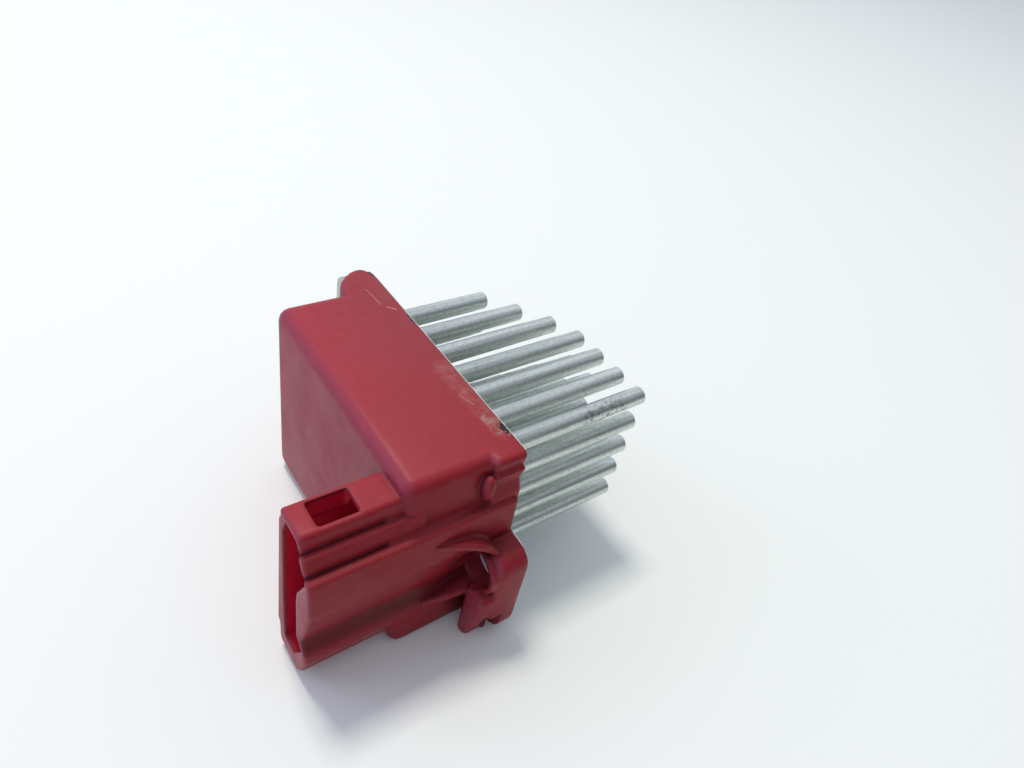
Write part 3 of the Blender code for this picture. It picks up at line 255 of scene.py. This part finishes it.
def red_polyester():
    """Glass-filled polyester, moulded: deep red with painted shade where sheltered, chalky with painted
    light and mauve with painted sheen where exposed, scuffed.
    """
    made, tree, shader, place = blank_material("red_polyester", 0.0)
    shader.inputs["IOR"].default_value = 1.45
    shader.inputs["Specular IOR Level"].default_value = 0.24

    # Surface direction with the edges rounded off, as a mould leaves them, and how open each place is
    normal = node(tree, "Bevel", {"Radius": MOULD_RADIUS}, samples=6).outputs[0]
    flat = node(tree, "NewGeometry").outputs["Normal"]
    turned = node(tree, "VectorMath", {0: normal, 1: flat}, operation="DOT_PRODUCT").outputs["Value"]
    shelter = node(
        tree, "AmbientOcclusion", {"Distance": SHELTER_REACH, "Normal": normal}, samples=8, only_local=True)
    open_air = shelter.outputs["AO"]
    way = node(tree, "SeparateXYZ", {0: normal}).outputs
    axes = node(tree, "SeparateXYZ", {0: place}).outputs

    # Uneven fading, in three sizes
    cloud = mottling(tree, place, 9 * MILLIMETRE, (0.3, 0.7))
    mottle = mottling(tree, place, 2.2 * MILLIMETRE, (0.32, 0.68), 4.0)
    fleck = mottling(tree, place, 0.8 * MILLIMETRE, (0.4, 0.75), 4.0)

    # Chalky upper side, redder towards the flange and the near ear: fading with painted light from above,
    # and the painted mauve sheen of the rear face
    chalk_and_top_light = coated(tree, colour("a33541"), (
        (axes["X"], (-23 * MILLIMETRE, -2 * MILLIMETRE), 1.0, "91373d"),
        (axes["Y"], (5 * MILLIMETRE, -28 * MILLIMETRE), 0.75, "98272f"),
        (overlap(tree, (cloud, FULL), (mottle, FULL)), FULL, 1.0, "9b2f37"),
    ))
    rear_face_sheen = coated(tree, colour("8a2238"), ((mottle, FULL, 1.0, "943044"),))

    # Lighter edges, worn and with painted highlight, painted sheen on the rear rims, painted shade along the
    # valley and in the ear hole, and the marks of use
    # Lighter convex edges in the open: edge wear with painted highlight
    edge = overlap(tree, (turned, (0.99, 0.86)), (open_air, (0.7, 0.9)))
    # Rounded rear rims facing back and up: painted mauve sheen
    rim = overlap(tree, (way["X"], (-0.1, -0.5)), (way["Z"], (0.05, 0.5)))
    valley_shade = stroke(tree, place, *VALLEY_SHADE)
    socket = overlap(tree, (within(tree, axes, SOCKET_LOW, SOCKET_HIGH), FULL), (way["Y"], (0.5, 0.1)))
    rubbed = overlap(
        tree, (stroke(tree, place, *RUBBED_EDGE), FULL), (streaks(tree, place, 0.1, 0.5), FULL))
    patch = overlap(
        tree, (stroke(tree, place, *RUBBED_PATCH, mottle), FULL), (streaks(tree, place, 0.2, 0.75), FULL))
    ear_hole_shade = stroke(tree, place, EAR_HOLE_START, EAR_HOLE_END, EAR_HOLE_REACH)
    scratches = [
        overlap(tree, (stroke(tree, place, *mark), FULL), (mottle, (0.0, 1.0, 0.3, 0.6)))
        for mark in SCRATCHES]
    dirt = [stroke(tree, place, *spot, fleck) for spot in DIRT_SPOTS]

    base = coated(tree, colour("85091a"), (
        (mottle, FULL, 1.0, "8f1220"),
        # Upward faces lighter: chalky fading with painted light from above
        (way["Z"], (0.35, 0.95), 1.0, chalk_and_top_light),
        # Rear face: painted mauve sheen
        (way["X"], (-0.3, -0.85), 1.0, rear_face_sheen),
        (fleck, FULL, 0.3, "7a2430"),
        # Lighter edges: edge wear with painted highlight
        (edge, FULL, 0.45, "b04a50"),
        # Painted mauve sheen on the rear rims
        (rim, FULL, 0.38, "8a4058"),
        # Darker where sheltered: painted shade in corners and creases
        (open_air, (0.85, 0.4), 0.75, "4a0712"),
        # Painted shade along the valley
        (valley_shade, FULL, 0.7, "4c0815"),
        (socket, FULL, 1.0, "cc1634"),
        (rubbed, FULL, 1.0, "b5827c"),
        (patch, FULL, 1.0, "ad958a"),
        *((scratch, FULL, 1.0, "c28a84") for scratch in scratches),
        *((spot, FULL, 1.0, "2e2526") for spot in dirt),
        # Painted shade inside the ear hole
        (ear_hole_shade, FULL, 0.85, "2a1018"),
    ))
    gloss = node(tree, "MapRange", {"Value": cloud, **span(0.0, 1.0, 0.36, 0.5)})
    height = mottling(tree, place, 0.35 * MILLIMETRE, FULL, 2.0)
    bump = node(tree, "Bump", {"Height": height, "Normal": normal, "Strength": 0.25, "Distance": 0.00004})
    tree.links.new(base, shader.inputs["Base Color"])
    tree.links.new(gloss.outputs[0], shader.inputs["Roughness"])
    tree.links.new(bump.outputs[0], shader.inputs["Normal"])
    return made


def forged_aluminium():
    """Cold-forged aluminium: matte satin, drawn along the pins, with small dark pits."""
    made, tree, shader, place = blank_material("forged_aluminium", 1.0)
    drawn = mottling(tree, place, 0.7 * MILLIMETRE, FULL, 4.0, 0.65, (40, 1, 1))
    grain = mottling(tree, place, 0.45 * MILLIMETRE, FULL, 4.0, 0.7, (2, 1, 1))
    pits = mottling(tree, place, 0.6 * MILLIMETRE, (0.68, 0.78), 4.0)
    spots = mottling(tree, place, 0.9 * MILLIMETRE, (0.42, 0.62), 5.0)
    area = stroke(tree, place, PITTED_START, PITTED_END, PITTED_WIDTH, grain)
    base = coated(tree, colour("b6c0ba"), (
        (drawn, (0.3, 0.7), 1.0, "e2e8e2"),
        (grain, (0.48, 0.72), 0.6, "929a94"),
        (pits, FULL, 1.0, "838883"),
        (overlap(tree, (area, FULL), (spots, FULL)), FULL, 0.8, "5c605c"),
    ))
    gloss = node(tree, "MapRange", {"Value": grain, **span(0.3, 0.7, 0.3, 0.46)})
    bump = node(tree, "Bump", {"Height": drawn, "Strength": 0.25, "Distance": 0.00005})
    tree.links.new(base, shader.inputs["Base Color"])
    tree.links.new(gloss.outputs[0], shader.inputs["Roughness"])
    tree.links.new(bump.outputs[0], shader.inputs["Normal"])
    return made


def plain_finish(name, code, roughness, metallic, grain):
    """Plain finish: one colour, clouded by a fine grain of the given size in metres."""
    made, tree, shader, place = blank_material(name, metallic)
    cloud = mottling(tree, place, grain, (0.3, 0.7))
    base = coated(tree, colour(code), ((cloud, FULL, 0.25, "808080"),))
    height = mottling(tree, place, grain / 2)
    bump = node(tree, "Bump", {"Height": height, "Strength": 0.15, "Distance": 0.00003})
    shader.inputs["Roughness"].default_value = roughness
    tree.links.new(base, shader.inputs["Base Color"])
    tree.links.new(bump.outputs[0], shader.inputs["Normal"])
    return made


# Finishes of the plain pieces by slot: name, colour, roughness, metallic and grain in metres
INNER_FINISHES = {
    "steel": ("zinc_plated_steel", "b9bab8", 0.32, 1.0, 0.0012),  # bright, satin
    "tin": ("tinned_brass", "c6c3ba", 0.3, 1.0, 0.0010),  # warm silver
    "copper": ("bare_copper", "c07a56", 0.35, 1.0, 0.0010),  # dulled orange
    "rubber": ("moulded_rubber", "222222", 0.75, 0.0, 0.0008),  # dull black
    "board": ("solder_mask", "1f5a35", 0.4, 0.0, 0.0015),  # half gloss green
    "black_resin": ("moulded_resin", "1d1d1f", 0.5, 0.0, 0.0006),  # satin black
    "grey_pad": ("thermal_silicone", "8a8f95", 0.8, 0.0, 0.0008),  # dull grey
    "ferrite": ("pressed_ferrite", "333333", 0.6, 0.0, 0.0005),  # gritty dark grey
    "ceramic": ("fired_ceramic", "a8947a", 0.5, 0.0, 0.0005),  # even tan
}


def dress_nodes():
    """Give every CAD node the finish of its material slot; gives the finishes by slot."""
    finishes = {"red_plastic": red_polyester(), "aluminium": forged_aluminium()}
    for slot, details in INNER_FINISHES.items():
        finishes[slot] = plain_finish(*details)
    for entry in frame["record"]["subparts"]:
        piece = frame["nodes"][entry["node"]]
        piece.data.materials.clear()
        piece.data.materials.append(finishes[entry["material_slot"]])
    return finishes


def smoothing():
    """Geometry nodes that join the loose triangles, and shade smooth but for steep edges."""
    group = bpy.data.node_groups.new("smooth_shading", "GeometryNodeTree")
    for side in ("INPUT", "OUTPUT"):
        group.interface.new_socket("Geometry", in_out=side, socket_type="NodeSocketGeometry")
    given = group.nodes.new("NodeGroupInput")
    joined = group.nodes.new("GeometryNodeMergeByDistance")
    joined.inputs["Distance"].default_value = JOIN_DISTANCE
    angle = group.nodes.new("GeometryNodeInputMeshEdgeAngle")
    steep = group.nodes.new("FunctionNodeCompare")
    steep.inputs[1].default_value = math.radians(STEEP_ANGLE)
    shaded = group.nodes.new("GeometryNodeSetMeshNormal")
    shaded.inputs["Remove Custom"].default_value = True
    result = group.nodes.new("NodeGroupOutput")
    for source, target in (
            (given.outputs[0], joined.inputs["Geometry"]),
            (angle.outputs["Unsigned Angle"], steep.inputs[0]),
            (joined.outputs[0], shaded.inputs["Mesh"]),
            (steep.outputs[0], shaded.inputs["Edge Sharpness"]),
            (shaded.outputs[0], result.inputs[0])):
        group.links.new(source, target)
    return group


def soften_edges(piece, width):
    """Round the sharp edges of a CAD node by a modifier."""
    bevel = piece.modifiers.new("bevel", "BEVEL")
    bevel.width = width
    bevel.segments = 2
    bevel.limit_method = "ANGLE"
    bevel.angle_limit = math.radians(STEEP_ANGLE)
    bevel.harden_normals = True


def finished(name, form, finish):
    """Scene piece from a bmesh in millimetres: shaded smooth but for steep edges, riding on the root."""
    bmesh.ops.recalc_face_normals(form, faces=form.faces)
    bmesh.ops.scale(form, vec=(MILLIMETRE,) * 3, verts=form.verts)
    mesh = bpy.data.meshes.new(name)
    form.to_mesh(mesh)
    form.free()
    mesh.shade_smooth()
    mesh.set_sharp_from_angle(angle=math.radians(STEEP_ANGLE))
    mesh.materials.append(finish)
    piece = bpy.data.objects.new(name, mesh)
    bpy.context.scene.collection.objects.link(piece)
    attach(piece, "root")
    return piece


def make_bush(finish):
    """Bush of the near ear: its wall turned round the screw's axis, with a collar on the plastic step."""
    form = bmesh.new()
    wall = [form.verts.new((x, radius, 0.0)) for x, radius in BUSH_WALL]
    loop = [form.edges.new(pair) for pair in zip(wall, wall[1:] + wall[:1])]
    bmesh.ops.spin(
        form, geom=wall + loop, cent=(0, 0, 0), axis=(1, 0, 0), dvec=(0, 0, 0), angle=math.tau,
        steps=BUSH_STEPS, use_merge=True)
    bmesh.ops.translate(form, vec=(0.0, *EAR_HOLE_CENTRE), verts=form.verts)
    piece = finished("near_ear_collar_bush", form, finish)
    soften_edges(piece, BUSH_EDGE * MILLIMETRE)
    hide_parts("near_ear_bush")


def make_shoulder(finish):
    """Rounded top of the far ear, which wraps the bush plate's upper end."""
    form = bmesh.new()
    end = form.faces.new([form.verts.new((x, y, SHOULDER_TOP)) for x, y in SHOULDER_OUTLINE])
    for depth, share in SHOULDER_STEPS:
        grown = bmesh.ops.extrude_face_region(form, geom=[end])["geom"]
        end = next(part for part in grown if isinstance(part, bmesh.types.BMFace))
        bmesh.ops.translate(form, vec=(0, 0, -depth), verts=end.verts)
        about = Matrix.Translation(-Vector(SHOULDER_FOOT))
        bmesh.ops.scale(form, vec=(1, share, 1), space=about, verts=end.verts)
    rim = [edge for edge in form.edges if all(
        vert.co.z > SHOULDER_TOP - 0.01 and vert.co.y > SHOULDER_INNER_END for vert in edge.verts)]
    bmesh.ops.bevel(
        form, geom=rim, offset=SHOULDER_SOFTNESS, segments=4, profile=0.5, affect="EDGES", material=-1)
    inner = [vert for vert in form.verts if vert.co.y < SHOULDER_INNER_END]
    bmesh.ops.translate(form, vec=(0, 0, -SHOULDER_DIP), verts=inner)
    finished("far_ear_shoulder", form, finish)


def make_camera():
    """Camera at the photograph's viewing angle."""
    data = bpy.data.cameras.new("camera")
    data.lens = CAMERA_LENS
    data.sensor_width = SENSOR_WIDTH
    data.clip_start = 0.005
    camera = bpy.data.objects.new("camera", data)
    bpy.context.scene.collection.objects.link(camera)
    turn = Vector(CAMERA_VIEW).to_track_quat("-Z", "Y").to_matrix().to_4x4()
    roll = Matrix.Rotation(math.radians(CAMERA_ROLL), 4, "Z")
    camera.matrix_world = Matrix.Translation(CAMERA_PLACE) @ turn @ roll
    bpy.context.scene.camera = camera


def make_floor():
    """Plain pale floor under the lowest point."""
    bpy.ops.mesh.primitive_plane_add(size=FLOOR_SIZE, location=(0, 0, CAD_BOX[0][2]))
    floor = bpy.context.object
    floor.name = "floor"
    made, _, shader, _ = blank_material("matte_paper", 0.0)
    shader.inputs["Roughness"].default_value = 0.9
    shader.inputs["Base Color"].default_value = colour(FLOOR_HEX)
    floor.data.materials.append(made)


def make_world():
    """Pale surroundings: bright above and behind, a dimmer room in front."""
    world = bpy.data.worlds.new("studio")
    world.use_nodes = True
    tree = world.node_tree
    tree.nodes.clear()
    way = node(tree, "TexCoord").outputs["Generated"]
    side = Vector(BRIGHT_SIDE).normalized()
    lean = node(tree, "VectorMath", {0: way, 1: side}, operation="DOT_PRODUCT").outputs["Value"]
    ray = node(tree, "LightPath").outputs
    shade = coated(tree, colour(ROOM_HEX), (
        (lean, (-0.55, 0.45), 1.0, SKY_HEX),
        (ray["Is Camera Ray"], FULL, 1.0, BACKDROP_HEX),
    ))
    seen = ray["Is Camera Ray"]
    for other in ("Is Glossy Ray", "Is Transmission Ray"):
        seen = node(tree, "Math", {0: seen, 1: ray[other]}, operation="MAXIMUM").outputs[0]
    strength = node(tree, "MapRange", {"Value": seen, **span(0.0, 1.0, SKY_STRENGTH, 1.0)}).outputs[0]
    light = node(tree, "Background", {"Color": shade, "Strength": strength})
    node(tree, "OutputWorld", {"Surface": light.outputs[0]})
    bpy.context.scene.world = world


def area_light(name, place, size, power, code):
    """Square soft light at a place, turned to the object."""
    data = bpy.data.lights.new(name, "AREA")
    data.size = size
    data.energy = power
    data.color = colour(code)[:3]
    lamp = bpy.data.objects.new(name, data)
    lamp.location = place
    lamp.rotation_euler = (-Vector(place)).to_track_quat("-Z", "Y").to_euler()
    bpy.context.scene.collection.objects.link(lamp)


FINISHES = dress_nodes()
SMOOTHING = smoothing()
for piece in frame["nodes"].values():
    piece.modifiers.new("smooth_shading", "NODES").node_group = SMOOTHING
for name in ("housing", "heat_sink", "far_ear_bush"):
    soften_edges(frame["nodes"][name], EDGE_WIDTH)
# The near bush is pale and dull, as whitened old zinc plating, and stands as a painted glint inside the ear
# hole
make_bush(plain_finish("pale_zinc_painted_glint", "dad6e2", 0.6, 0.0, 0.0012))
make_shoulder(FINISHES["red_plastic"])
make_camera()
make_floor()
make_world()
area_light("ceiling_lamp", **CEILING_LAMP)
area_light("window_lamp", **WINDOW_LAMP)
bpy.context.scene.view_settings.view_transform = "Standard"
